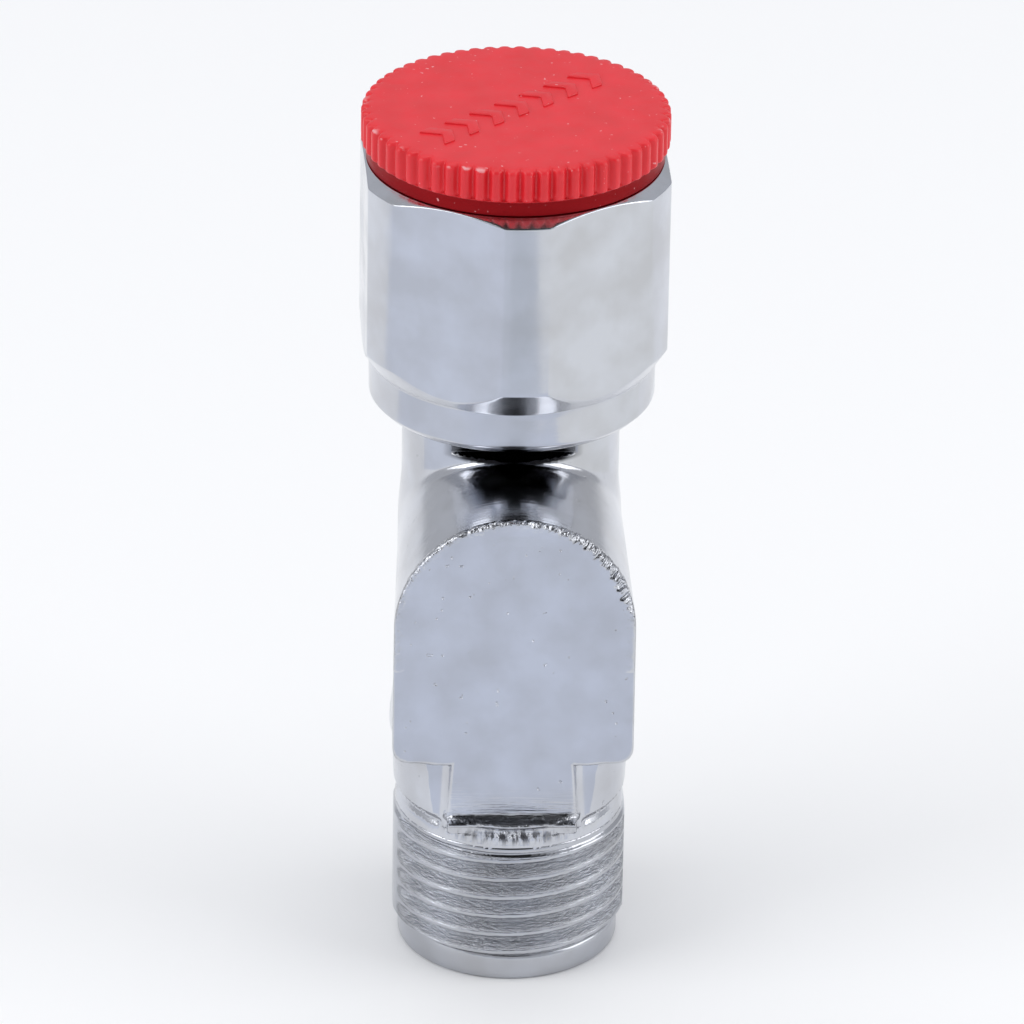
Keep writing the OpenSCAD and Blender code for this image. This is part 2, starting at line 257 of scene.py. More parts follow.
card_black = bpy.data.materials.new("card_black")
card_black.use_nodes = True
card_shader = card_black.node_tree.nodes["Principled BSDF"]
card_shader.inputs["Base Color"].default_value = (0.01, 0.01, 0.01, 1)
card_shader.inputs["Roughness"].default_value = 1.0
card_shader.inputs["Specular IOR Level"].default_value = 0.0
dark_flag("front_flag", 0, 45, 0.6, 0.50, 0.60)
dark_flag("top_flag", 0, 92, 0.55, 0.46, 0.36)


CARD_Z = 0.3


def floor_card(name, left, right, front, back, colour):
    """Tinted sheet on the floor, edges in millimetres, seen only in the plating."""
    outline = [(left, front), (right, front), (right, back), (left, back)]
    corners = np.array([(x, y, CARD_Z) for x, y in outline]) * MM
    mesh = bpy.data.meshes.new(name)
    mesh.from_pydata(corners, [], [(0, 1, 2, 3)])
    item = bpy.data.objects.new(name, mesh)
    bpy.context.scene.collection.objects.link(item)
    item.visible_camera = item.visible_diffuse = item.visible_shadow = False
    sheet = bpy.data.materials.new(name)
    sheet.use_nodes = True
    shader = sheet.node_tree.nodes["Principled BSDF"]
    shader.inputs["Base Color"].default_value = (*colour, 1)
    shader.inputs["Roughness"].default_value = 1.0
    mesh.materials.append(sheet)


floor_card("boss_card", -60, 60, -98, -30, (0.74, 0.775, 0.86))
floor_card("left_card", -400, -60, -400, 30, (0.78, 0.81, 0.88))
floor_card("middle_card", -60, -8, -400, -98, (0.74, 0.77, 0.83))
floor_card("corner_card", -8, 38, -400, -98, (0.66, 0.69, 0.74))
floor_card("right_card", 38, 400, -400, -98, (0.93, 0.93, 0.91))
floor_card("side_card", 60, 400, -98, 60, (0.93, 0.93, 0.91))
bpy.context.scene.view_settings.view_transform = "Standard"
print("three panels, a sky, two flags and six floor cards")

# %% [markdown]
# ## Plating
# Bright nickel-chrome over ground brass is smooth but never perfect: the grinding shows through
# as fine lines, and the surface waves a little. Lines are noise stretched along the grinding
# direction; waves are slow noise. Both only tilt the surface, through bump, and a third noise
# lets the roughness drift. Pits are the dark spots of a cell pattern.
# On the casting the colour also carries painted shade: flat black in the recess under the nut's collar and
# near-black streaks below the ledge.

# %% A small kit for node materials
class Paint:
    """A node material under construction: short names for the nodes that every finish uses."""

    def __init__(self, name, colour, roughness, metallic=0.0):
        self.material = bpy.data.materials.new(name)
        self.material.use_nodes = True
        self.tree = self.material.node_tree
        self.shader = self.tree.nodes["Principled BSDF"]
        self.shader.inputs["Base Color"].default_value = (*colour, 1)
        self.shader.inputs["Roughness"].default_value = roughness
        self.shader.inputs["Metallic"].default_value = metallic
        self.place = self.tree.nodes.new("ShaderNodeTexCoord")
        self.height = None

    def noise(self, stretch, detail=2.0, turn=(0, 0, 0)):
        """Noise over object coordinates, stretch features per millimetre along X, Y and Z."""
        mapping = self.tree.nodes.new("ShaderNodeMapping")
        mapping.inputs["Scale"].default_value = [s / MM for s in stretch]
        mapping.inputs["Rotation"].default_value = turn
        texture = self.tree.nodes.new("ShaderNodeTexNoise")
        texture.inputs["Scale"].default_value = 1.0
        texture.inputs["Detail"].default_value = detail
        self.tree.links.new(self.place.outputs["Object"], mapping.inputs["Vector"])
        self.tree.links.new(mapping.outputs["Vector"], texture.inputs["Vector"])
        return texture.outputs["Fac"]

    def ramp(self, source, stops):
        """Maps a value to grey or colour along the given (position, colour) stops."""
        ramp = self.tree.nodes.new("ShaderNodeValToRGB")
        elements = ramp.color_ramp.elements
        while len(elements) < len(stops):
            elements.new(0.5)
        for element, (position, colour) in zip(elements, stops):
            element.position = position
            element.color = (*colour, 1) if hasattr(colour, "__len__") else (colour, colour, colour, 1)
        self.tree.links.new(source, ramp.inputs["Fac"])
        return ramp.outputs["Color"]

    def bump(self, source, depth_mm, strength=1.0):
        """Adds one layer of relief, depth_mm deep, over the layers before it."""
        node = self.tree.nodes.new("ShaderNodeBump")
        node.inputs["Distance"].default_value = depth_mm * MM
        node.inputs["Strength"].default_value = strength
        self.tree.links.new(source, node.inputs["Height"])
        if self.height:
            self.tree.links.new(self.height, node.inputs["Normal"])
        self.height = node.outputs["Normal"]
        self.tree.links.new(self.height, self.shader.inputs["Normal"])

    def attribute(self, name):
        """A value stored on the piece's own points."""
        node = self.tree.nodes.new("ShaderNodeAttribute")
        node.attribute_name = name
        return node.outputs["Fac"]

    def product(self, first, second):
        """Two values multiplied."""
        node = self.tree.nodes.new("ShaderNodeMath")
        node.operation = "MULTIPLY"
        self.tree.links.new(first, node.inputs[0])
        self.tree.links.new(second, node.inputs[1])
        return node.outputs["Value"]

    def blend(self, share, first, second):
        """Goes from one colour to another as share goes from 0 to 1."""
        node = self.tree.nodes.new("ShaderNodeMix")
        node.data_type = "RGBA"
        self.tree.links.new(share, node.inputs["Factor"])
        self.tree.links.new(first, node.inputs["A"])
        node.inputs["B"].default_value = (*second, 1)
        return node.outputs["Result"]

    def drive(self, socket, source):
        """Connects a value to one of the shader's sockets."""
        self.tree.links.new(source, self.shader.inputs[socket])


DULL_CHROME, BRIGHT_CHROME = (0.55, 0.56, 0.59), (0.63, 0.65, 0.70)


def plating(name, line_stretch, line_depth, wave_depth, roughness=(0.10, 0.24), pits_and_shade=True, grey=1.0):
    """Nickel-chrome over brass with grinding lines, slow waves, drifting roughness, pits and painted shade.
    """
    paint = Paint(name, (0.585, 0.605, 0.655), 0.16, metallic=1.0)
    paint.bump(paint.noise((0.25, 0.25, 0.25), 1.0), wave_depth)
    paint.bump(paint.noise(line_stretch, 3.0), line_depth)
    paint.bump(paint.noise((3.5, 3.5, 3.5), 3.0), 0.002)
    if pits_and_shade:
        spots = paint.ramp(paint.noise((1.7, 1.7, 1.7), 1.0), [(0.76, 0.0), (0.80, 1.0)])
        paint.bump(spots, -0.06)
    tint = paint.ramp(paint.noise((0.22, 0.22, 0.22), 8.0),
                      [(0.35, [grey * c for c in DULL_CHROME]), (0.65, [grey * c for c in BRIGHT_CHROME])])
    # Painted shade: near-black streaks where the feather mask marks the groove below the ledge, and flat
    # black where the recess mask marks the flat under the nut's collar.
    if pits_and_shade:
        streaks = paint.ramp(paint.noise((2.6, 2.6, 0.5), 5.0), [(0.47, 0.0), (0.56, 1.0)])
        tint = paint.blend(paint.product(paint.attribute("feather_and_shade"), streaks), tint, (0.03, 0.03, 0.035))
        tint = paint.blend(paint.attribute("recess_shade"), tint, (0.02, 0.02, 0.022))
    paint.drive("Base Color", tint)
    cloud = paint.noise((0.18, 0.18, 0.30), 4.0)
    paint.drive("Roughness", paint.ramp(cloud, [(0.35, roughness[0]), (0.7, roughness[1])]))
    return paint


body_finish = plating("ground_plating", (0.12, 3.6, 0.2), 0.010, 0.05)
edge_wear = body_finish.attribute("wear")
body_finish.bump(body_finish.product(edge_wear, body_finish.noise((1.3, 1.3, 1.3), 5.0)), 0.35)
feathering = body_finish.attribute("feather_and_shade")
body_finish.bump(body_finish.product(feathering, body_finish.noise((3.0, 3.0, 0.5), 4.0)), 0.5)
tool_lines = body_finish.attribute("tooling")
body_finish.bump(body_finish.product(tool_lines, body_finish.noise((0.2, 0.2, 4.5), 3.0)), 0.07)
body_plating = body_finish.material
nut_plating = plating("nut_plating", (0.6, 0.6, 4.0), 0.003, 0.02, pits_and_shade=False).material
thread_finish = plating("thread_plating", (0.5, 0.5, 4.0), 0.004, 0.03,
                        roughness=(0.14, 0.26), pits_and_shade=False, grey=0.86)
torn = thread_finish.attribute("torn")
thread_finish.bump(thread_finish.product(torn, thread_finish.noise((1.6, 1.6, 8.0), 3.0)), 0.20)
thread_finish.bump(thread_finish.product(torn, thread_finish.noise((9.0, 9.0, 12.0), 4.0)), 0.10)
thread_plating = thread_finish.material
print("three plated finishes")

# %% [markdown]
# ## Plastics, rubber, brass and steel
# Moulded plastic has a soft, faintly mottled skin and worn, paler edges. The red plug gets a
# little subsurface scattering, which makes the ribs glow where light passes through them.
# The plug's shoulder below the ribs has painted shade in its colour.

# %% Make the other finishes
def moulded(name, colour, dark, roughness, scatter=0.0, grain=0.006, wear_and_shade=False):
    """Moulded plastic: colour mottled towards dark, fine grain, optional scattering, and optional marks of
    use with painted shade.
    """
    paint = Paint(name, colour, roughness)
    skin = paint.ramp(paint.noise((0.4, 0.4, 0.4), 5.0), [(0.3, dark), (0.7, colour)])
    # Painted shade: where the shaded mask is 1, on the shoulder below the ribs, the colour is darkened and
    # the specular level lowered. Nicks on the rim and dust are marks of use.
    if wear_and_shade:
        shaded = paint.attribute("shaded")
        skin = paint.blend(shaded, skin, [c * 0.38 for c in dark])
        paint.drive("Specular IOR Level", paint.ramp(shaded, [(0.0, 0.5), (1.0, 0.05)]))
        nicks = paint.ramp(paint.noise((0.45, 0.45, 0.9), 5.0), [(0.60, 0.0), (0.64, 1.0)])
        skin = paint.blend(paint.product(paint.attribute("rim"), nicks), skin, (0.86, 0.42, 0.44))
        dust = paint.ramp(paint.noise((2.4, 2.4, 2.4), 1.0), [(0.74, 0.0), (0.80, 0.7)])
        skin = paint.blend(dust, skin, (0.88, 0.42, 0.44))
    paint.drive("Base Color", skin)
    paint.bump(paint.noise((5.0, 5.0, 5.0), 3.0), grain)
    paint.bump(paint.noise((0.3, 0.3, 0.3), 1.0), 0.03)
    paint.drive("Roughness", paint.ramp(paint.noise((0.8, 0.8, 0.8), 4.0),
                                        [(0.3, roughness - 0.06), (0.7, roughness + 0.08)]))
    paint.shader.inputs["Subsurface Weight"].default_value = scatter
    paint.shader.inputs["Subsurface Radius"].default_value = (1.0, 0.2, 0.15)
    paint.shader.inputs["Subsurface Scale"].default_value = 1.2 * MM
    return paint.material


def worked_metal(name, colour, lines, roughness):
    """Bare metal with tool lines, stretch features per millimetre along each axis."""
    paint = Paint(name, colour, roughness, metallic=1.0)
    paint.bump(paint.noise(lines, 3.0), 0.004)
    paint.drive("Roughness", paint.ramp(paint.noise((0.7, 0.7, 0.7), 3.0),
                                        [(0.3, roughness - 0.05), (0.7, roughness + 0.1)]))
    paint.drive("Base Color", paint.ramp(paint.noise((0.5, 0.5, 0.5), 3.0),
                                         [(0.3, [c * 0.86 for c in colour]), (0.7, colour)]))
    return paint.material


red_plastic = moulded("red_plastic", (0.80, 0.022, 0.034), (0.72, 0.014, 0.022), 0.36,
                      scatter=0.1, wear_and_shade=True)
pale_plastic = moulded("pale_plastic", (0.86, 0.85, 0.79), (0.80, 0.78, 0.71), 0.42, scatter=0.1)
seal_rubber = moulded("seal_rubber", (0.035, 0.035, 0.038), (0.02, 0.02, 0.022), 0.6, grain=0.012)
turned_brass = worked_metal("turned_brass", (0.78, 0.60, 0.28), (0.6, 0.6, 8.0), 0.26)
sheet_steel = worked_metal("sheet_steel", (0.62, 0.63, 0.65), (6.0, 0.4, 0.4), 0.30)
spring_steel = worked_metal("spring_steel", (0.55, 0.56, 0.58), (3.0, 3.0, 3.0), 0.24)
FINISHES = {"red_plastic": red_plastic, "pale_plastic": pale_plastic, "rubber": seal_rubber,
            "brass": turned_brass, "sheet_steel": sheet_steel, "spring_steel": spring_steel,
            "chrome": body_plating}
print(len(FINISHES), "finishes")

# %% [markdown]
# ## The body casting
# The casting has flats, an arch, a neck and fillets that run into each other, so no single sweep
# describes it. It is described as a field instead: at every point in space a number that is
# negative inside the metal. Joining two shapes takes the smaller number, cutting takes the
# larger, and the soft versions of both leave fillets and rounded edges. A surface net then puts
# one point in every cell that the surface crosses, and a few Newton steps along the field's
# slope bring each point exactly on to it.

# %% Describe the casting as a field
ARCH_Z, ARCH_R, BACK_R = 34.0, 10.4, 9.7
BOSS_TILT = math.radians(5)
BOSS_LENGTH = NECK_Y - FACE_Y
SPLIT_Z = 13.3
SPLIT_OVERLAP = 0.15
SHOULDER_Y, SHOULDER_Z, SHOULDER_TOP = NECK_Y - 7.7, 45.2, 48.5
INLET_BORE_R, CHAMBER_R, GEAR_BORE_R = 6.5, 6.2, 7.5


def arched_block(x, y, z):
    """Distance to the block: upright sides below the arch's centre line, round above it."""
    back = y - FACE_Y
    up = z - ARCH_Z
    along = back * math.cos(BOSS_TILT) + up * math.sin(BOSS_TILT)
    over = up * math.cos(BOSS_TILT) - back * math.sin(BOSS_TILT)
    radius = ARCH_R - (ARCH_R - BACK_R) * along / BOSS_LENGTH
    side = np.where(over > 0, np.hypot(x, over), np.abs(x)) - radius
    block = soft_max(side, BLOCK_Z - z, 1.6)
    return soft_max(block, y - NECK_Y, 0.2)


def burr_width(x, z):
    """Leg of the hand-filed edge round the arch: broad and uneven on the right, thin on the left."""
    turn = np.degrees(np.arctan2(x, np.maximum(z - ARCH_Z, 0.1)))
    width = np.interp(turn, [-85, -60, -30, -8, 0, 8, 25, 45, 70, 88],
                      [0.0, 0.22, 0.28, 0.30, 0.12, 0.32, 0.42, 0.55, 0.75, 0.0])
    return width * (1 + 0.22 * np.sin(turn * 0.9) + 0.18 * np.sin(turn * 2.3 + 1))


def casting_field(points):
    """Negative inside the metal of the casting, positive outside, near to millimetres."""
    x, y, z = points[..., 0], points[..., 1], points[..., 2]
    from_inlet = np.hypot(x, y)
    from_neck = np.hypot(x, y - NECK_Y)
    neck = np.maximum(from_neck - NECK_R, BLOCK_Z - z)
    solid = soft_min(arched_block(x, y, z), neck, 0.7)
    slope = (BLOCK_Z + (y - 8) * math.tan(math.radians(26)) - z) * math.cos(math.radians(26))
    solid = soft_max(solid, slope, 1.2)
    relief_z = [SPLIT_Z, SPLIT_Z + 0.4, 14.2, LEDGE_Z - 0.75, LEDGE_Z - 0.25, BLOCK_Z, BLOCK_Z + 4]
    relief = np.interp(z, relief_z, [10.0, 10.0, 9.9, 9.6, 10.15, 10.35, 9.3])
    blank = np.maximum(from_inlet - relief, z - BLOCK_Z - 4)
    lip = np.maximum(np.abs(x) - 6.1, -9.7 - y + (LEDGE_Z - z) * 0.3)
    lip = np.maximum(lip, np.abs(z - LEDGE_Z + 0.6) - 0.6)
    blank = soft_min(blank, np.maximum(lip, y + 6), 0.3)
    solid = soft_min(solid, blank, 1.6)
    scoop = np.hypot(np.abs(x) - 6.95, y + 8.9) - 1.78 + (BLOCK_Z - z) * 0.07
    scoop = np.maximum(scoop, z - BLOCK_Z + 0.2)
    solid = soft_max(solid, -scoop, 0.12)
    before_face = soft_max(y - FACE_Y, LEDGE_Z - z, 0.6)
    solid = soft_max(solid, -before_face, 0.35)
    burr = (arched_block(x, y, z) + FACE_Y - y + burr_width(x, z)) * math.sqrt(0.5)
    solid = np.where(z > ARCH_Z - 4, soft_max(solid, burr, 0.06), solid)
    shoulder = np.maximum(np.maximum(y - SHOULDER_Y, SHOULDER_Z - z), z - SHOULDER_TOP)
    solid = soft_max(solid, -shoulder, 0.10)
    inlet_bore = np.maximum(from_inlet - INLET_BORE_R, z - 36)
    chamber = np.maximum(from_neck - CHAMBER_R, 29 - z)
    gear_bore = np.maximum(from_neck - GEAR_BORE_R, 49 - z)
    bores = np.minimum(np.minimum(inlet_bore, chamber), gear_bore)
    solid = soft_max(solid, -bores, 0.3)
    wire_groove = np.hypot(from_neck - NECK_R, z - 52.15) - 0.6
    solid = np.maximum(solid, -wire_groove)
    solid = soft_max(solid, z - NECK_TOP, 0.3)
    return np.maximum(solid, SPLIT_Z - SPLIT_OVERLAP - z)

# %% [markdown]
# ### The surface net
# The net is worked out for all cells at once. Where two neighbouring grid points lie on
# different sides of the surface, the four cells round that edge share one face.

# %% Wrap the field in a net
def slope_of(field, points, step=0.01):
    """Gradient of a field by central differences."""
    sides = []
    for axis in np.eye(3) * step:
        sides.append((field(points + axis) - field(points - axis)) / (2 * step))
    return np.stack(sides, -1)


def surface_net(field, low, high, cell):
    """Points and four-cornered faces of the surface where field is zero, all facing outwards."""
    axes = [np.arange(a, b + cell, cell) for a, b in zip(low, high)]
    inside = field(np.stack(np.meshgrid(*axes, indexing="ij"), -1)) < 0
    nx, ny, nz = inside.shape
    count = sum(inside[i:nx - 1 + i, j:ny - 1 + j, k:nz - 1 + k].astype(int)
                for i in (0, 1) for j in (0, 1) for k in (0, 1))
    active = (count > 0) & (count < 8)
    number = np.full(active.shape, -1)
    number[active] = np.arange(active.sum())
    points = np.array(low) + (np.argwhere(active) + 0.5) * cell
    faces = []
    for axis in range(3):
        shift = np.moveaxis(inside, axis, 0)
        cells = np.moveaxis(number, axis, 0)
        changes = shift[:-1, 1:-1, 1:-1] != shift[1:, 1:-1, 1:-1]
        a, b, c = np.nonzero(changes)
        corners = np.stack([cells[a, b, c], cells[a, b + 1, c],
                            cells[a, b + 1, c + 1], cells[a, b, c + 1]], -1)
        leaves = shift[a, b + 1, c + 1]
        flip = leaves if axis != 1 else ~leaves
        corners[~flip] = corners[~flip][:, ::-1]
        faces.append(corners)
    return points, np.concatenate(faces)


def settle(field, points, faces, rounds=6):
    """Evens the net out and brings it on to the surface: average, then a Newton step, repeated."""
    edges = np.concatenate([faces[:, [0, 1]], faces[:, [1, 2]], faces[:, [2, 3]], faces[:, [3, 0]]])
    edges = np.concatenate([edges, edges[:, ::-1]])
    degree = np.bincount(edges[:, 0], minlength=len(points))
    for turn in range(rounds):
        if 0 < turn < rounds - 2:
            middle = np.stack([np.bincount(edges[:, 0], points[edges[:, 1], k], len(points))
                               for k in range(3)], -1)
            points = 0.5 * points + 0.5 * middle / degree[:, None]
        gradient = slope_of(field, points)
        length = np.maximum((gradient ** 2).sum(-1), 0.05)
        step = field(points) / length
        points = points - np.clip(step, -0.3, 0.3)[:, None] * gradient
    return points


CELL = 0.3
net_low, net_high = (-11.4, -10.9, SPLIT_Z - 0.65), (11.4, 21.2, NECK_TOP + 0.7)
net_points, net_faces = surface_net(casting_field, net_low, net_high, CELL)
net_points = settle(casting_field, net_points, net_faces)
casting = make_object("body_casting", net_points, net_faces)
normals = slope_of(casting_field, net_points)
normals /= np.linalg.norm(normals, axis=1)[:, None]
casting.data.normals_split_custom_set_from_vertices(normals.tolist())


def store(item, name, values):
    """Keeps one number per point on the piece, for its material to read."""
    item.data.attributes.new(name, "FLOAT", "POINT").data.foreach_set("value", values.astype(np.float32))


def point_array(item):
    """The points of a piece as an array of millimetres."""
    spots = np.zeros(len(item.data.vertices) * 3)
    item.data.vertices.foreach_get("co", spots)
    return spots.reshape(-1, 3) / MM


def near(distance, width):
    """1 where distance is zero, falling smoothly to 0 at width."""
    share = np.clip(1 - np.abs(distance) / width, 0, 1)
    return share * share * (3 - 2 * share)


px, py, pz = net_points.T
to_side = arched_block(px, py, pz)
burr_zone = np.clip((burr_width(px, pz) + 0.12 - (py - FACE_Y)) / 0.15, 0, 1)
burr_zone = burr_zone * near(to_side, 1.3) * (pz > ARCH_Z - 4)
scar = near(np.hypot(px + 3.7, (py + 0.5) * 0.7), 2.0) * (pz > 42)
store(casting, "wear", np.maximum(burr_zone, 0.3 * scar) + near(pz - LEDGE_Z, 0.35) * (py < FACE_Y + 0.6))
# Painted shade: the flat in front of the neck, under the nut's collar, is blended to black in the colour
# instead of lying in real shadow.
before_neck = near(px, 7.0) * np.clip((NECK_Y - 7.3 - py) / 0.2, 0, 1)
recess_shade = before_neck * np.clip((pz - 44.75) / 0.15, 0, 1) * (pz < 48.8)
store(casting, "recess_shade", np.clip(recess_shade * 3, 0, 1))
# The feather mask marks the groove below the ledge: its bump is the torn feathering, and the near-black
# streaks it brings into the colour are painted shade.
store(casting, "feather_and_shade", near(pz - 14.4, 1.0) * near(px, 7.5) * (py < 0))
store(casting, "tooling", near(py - FACE_Y, 0.25) * np.clip((20 - pz) / 3, 0, 1) * (pz > LEDGE_Z + 0.2))
finish_piece(casting, "housing", "chrome", body_plating, "body")
print("casting from", net_points.min(0).round(2), "to", net_points.max(0).round(2))

# %% [markdown]
# ## The inlet thread
# A thread is a ridge that climbs as it goes round. On a grid of angle and height the ridge's
# phase is height over pitch minus the share of the turn, and the radius is a rounded trapezoid
# of that phase. Grooves run out towards the two side flats, where the bar was held, and small
# waves in the groove edges stand for the torn finish of a fast-cut thread.

# %% Cut the thread
PITCH, CREST_R, ROOT_R, PILOT_R = 1.814, 10.3, 9.32, 9.65
THREAD_LOW, THREAD_HIGH = 2.3, 12.9
CREST_FLAT, ROOT_FLAT = 0.3, 0.2


def ragged(angle, height, fast, seed):
    """Smooth uneven waves between -1 and 1: a sum of sines with seeded directions and phases."""
    random = np.random.default_rng(seed)
    total = 0.0
    for k in range(7):
        turns = random.integers(3, fast)
        total = total + np.sin(turns * angle + random.uniform(-5, 5) * height + random.uniform(0, 7))
    return total / 7


def thread_radius(angle, height):
    """Ridge height from the helix phase, faded at the ends and at the side flats."""
    tear = 0.02 * ragged(angle, height, 60, 3) + 0.015 * ragged(angle, height, 200, 4)
    phase = (height / PITCH - angle / (2 * np.pi) + tear + 0.037) % 1.0
    from_groove = np.abs(phase - 0.5) * PITCH
    depth = CREST_R - ROOT_R
    flank = (PITCH - CREST_FLAT - ROOT_FLAT) / 2
    groove = np.clip((ROOT_FLAT / 2 + flank - from_groove) / flank, 0, 1)
    from_left = np.abs(np.angle(np.exp(1j * (angle - np.pi))))
    from_right = np.abs(np.angle(np.exp(1j * angle)))
    fade = np.clip((from_left - 0.30) / 0.16, 0, 1) * np.clip((from_right - 0.14) / 0.12, 0, 1)
    ends = np.clip((THREAD_HIGH - height) / 0.5, 0, 1) * np.clip((height - THREAD_LOW) / 0.4, 0, 1)
    crest = CREST_R - 0.02 + 0.02 * ragged(angle, height, 40, 5)
    crest = np.where(height > THREAD_HIGH - 0.4, crest - 0.75 * (height - THREAD_HIGH + 0.4), crest)
    lead_in = PILOT_R + (crest - PILOT_R) * np.clip((height - THREAD_LOW) / 0.6, 0, 1)
    crest = np.where(height < THREAD_LOW + 0.6, lead_in, crest)
    radius = crest - depth * groove * fade * ends
    flat = 10.13 / np.maximum(np.abs(np.cos(angle)), 0.5)
    return soft_min(np.minimum(radius, CREST_R), flat, 0.08)


thread_angle = np.linspace(0, 2 * np.pi, 600, endpoint=False)
outer = np.concatenate([
    refine([(6.5, 0.35), (6.75, 0.03), (6.85, 0.0), (9.35, 0.0), (9.5, 0.04), (9.61, 0.15), (9.65, 0.3),
            (9.65, THREAD_LOW)], 0.5)[:-1],
    np.stack([np.full(150, 0.0), np.linspace(THREAD_LOW, THREAD_HIGH, 150)], -1),
    [(9.96, SPLIT_Z - 0.2), (9.96, SPLIT_Z)]])
inner = np.array([(6.5, SPLIT_Z), (6.5, 5.87), (6.9, 5.87), (6.9, 4.93), (6.5, 4.93)])
profile = np.concatenate([outer, inner])
thread_grid_radius = np.repeat(profile[:, :1], len(thread_angle), axis=1)
cut_rows = profile[:, 0] == 0
thread_grid_radius[cut_rows] = thread_radius(thread_angle[None, :], profile[cut_rows, 1:2])
thread = turned_grid("inlet_thread", thread_grid_radius, profile[:, 1:2], thread_angle)
spots = point_array(thread)
deep = np.clip((CREST_R - 0.06 - np.hypot(spots[:, 0], spots[:, 1])) / 0.15, 0, 1)
store(thread, "torn", deep * (spots[:, 2] > THREAD_LOW + 0.1) * (spots[:, 2] < THREAD_HIGH - 0.4))
finish_piece(thread, "housing", "chrome", thread_plating, "body")

# %% [markdown]
# ## The union nut
# The nut is a turned blank crossed with a hexagon. Round the axis, the hexagon's radius is its
# half width over the cosine of the angle from the middle of the flat; the nut's radius is the
# smaller of that and the turned profile, with the edge between them slightly rounded. Angles are
# packed closely near the edges of the turned corner bands, where the light breaks.

# %% Turn and mill the nut
HALF_FLAT, CORNER_R, RIM_R = 13.0, 14.0, 12.95
NUT_TURN = math.radians(3 - 90)
sector = np.concatenate([np.linspace(-30, -24.5, 6), np.linspace(-24, -20.5, 12),
                         np.linspace(-19.5, 19.5, 22), np.linspace(20.5, 24, 12), np.linspace(24.5, 29, 5)])
nut_angle = np.radians(np.concatenate([sector + 60 * k for k in range(6)])) + NUT_TURN + math.radians(30)
nut_bottom, nut_top = nut_low[2], nut_high[2]
nut_outer = np.concatenate([
    refine([(9.75, nut_bottom), (11.75, nut_bottom)], 0.5),
    refine([(11.85, nut_bottom + 0.03), (12.4, nut_bottom + 0.6), (12.45, nut_bottom + 0.7),
            (12.46, nut_bottom + 0.8)], 0.2),
    refine([(12.46, nut_bottom + 1.0), (12.46, 51.0)], 0.6),
    refine([(12.47, 51.08), (12.52, 51.18), (CORNER_R - 0.04, 53.46), (CORNER_R - 0.01, 53.54),
            (CORNER_R, 53.64)], 0.1),
    refine([(CORNER_R, 53.9), (CORNER_R, 69.1)], 0.8),
    refine([(CORNER_R, 69.22), (CORNER_R - 0.04, 69.32), (RIM_R + 0.03, nut_top - 0.05),
            (RIM_R - 0.05, nut_top)], 0.07),
    refine([(RIM_R - 0.1, nut_top), (11.3, nut_top)], 0.3)])
groove_z = np.linspace(nut_top - 0.9, 54.0, 84)
groove_phase = ((groove_z - 54.0) / 1.5) % 1.0
groove_r = 10.21 + 0.75 * (1 - np.clip(np.abs(groove_phase - 0.5) * 2 / 0.85, 0, 1))
nut_inner = np.concatenate([
    [(11.12, nut_top - 0.03)], np.stack([groove_r, groove_z], -1),
    [(10.3, 53.7), (11.15, 53.2), (11.2, 53.1), (11.2, 51.3), (11.1, 51.2), (9.7, 51.2), (9.62, 51.1),
     (9.62, nut_bottom + 0.15), (9.68, nut_bottom + 0.03)]])
nut_profile = np.concatenate([nut_outer, nut_inner])
from_flat = (nut_angle - NUT_TURN) % (np.pi / 3) - np.pi / 6
hexagon = HALF_FLAT / np.cos(from_flat)
nut_radius = np.repeat(nut_profile[:, :1], len(nut_angle), axis=1)
milled = np.arange(len(nut_profile)) < len(nut_outer)
nut_radius[milled] = soft_min(nut_radius[milled], hexagon[None, :] + 0.02, 0.10)
nut_radius[milled] = np.minimum(nut_radius[milled], nut_profile[milled, :1])
nut = turned_grid("nut_shell", nut_radius, nut_profile[:, 1:2], nut_angle, axis_y=NECK_Y)
finish_piece(nut, "nut", "chrome", nut_plating, "union_nut")

# %% [markdown]
# ## The plug
# The plug is one moulding: a flat top, sixty rounded ribs with narrow grooves between them, a
# smooth shoulder and a hollow threaded shank. The profile runs from the middle of the top, over
# the rim and down the outside, then back up the hollow. A mask says how much of the rib pattern
# each point of the profile carries.

# %% Mould the plug
RIBS = 60
PLUG_R = 13.3
plug_face = plug_high[2] - 0.2
plug_foot = 69.95
head_z = plug_foot + 1.4
plug_angle = np.linspace(0, 2 * np.pi, RIBS * 14, endpoint=False)
plug_rows = [
    # radius, height, share of the rib pattern
    (0.0, plug_face, 0), (2.0, plug_face, 0), (5.0, plug_face, 0), (8.0, plug_face, 0), (10.5, plug_face, 0),
    (12.2, plug_face, 0), (12.6, plug_face - 0.01, 0.15), (12.95, plug_face - 0.05, 0.75),
    (13.12, plug_face - 0.12, 0.95), (13.24, plug_face - 0.24, 1), (13.29, plug_face - 0.38, 1),
    (PLUG_R, plug_face - 0.6, 1), (PLUG_R, plug_face - 1.2, 1), (PLUG_R, plug_face - 1.8, 1),
    (PLUG_R, head_z + 0.4, 1), (13.28, head_z + 0.2, 1), (13.2, head_z + 0.08, 1), (13.1, head_z + 0.01, 0.7),
    (13.0, head_z, 0.2), (12.94, head_z - 0.03, 0), (12.9, head_z - 0.08, 0), (12.88, head_z - 0.15, 0),
    (12.88, head_z - 0.6, 0), (12.88, plug_foot + 0.2, 0), (12.82, plug_foot + 0.06, 0), (12.7, plug_foot, 0),
    (11.0, plug_foot, 0), (9.4, plug_foot, 0), (9.3, plug_foot - 0.1, 0), (9.3, plug_foot - 1.2, 0)]
shank_z = np.linspace(plug_foot - 1.25, plug_low[2] + 0.1, 60)
shank_phase = ((shank_z - plug_low[2]) / 1.5) % 1.0
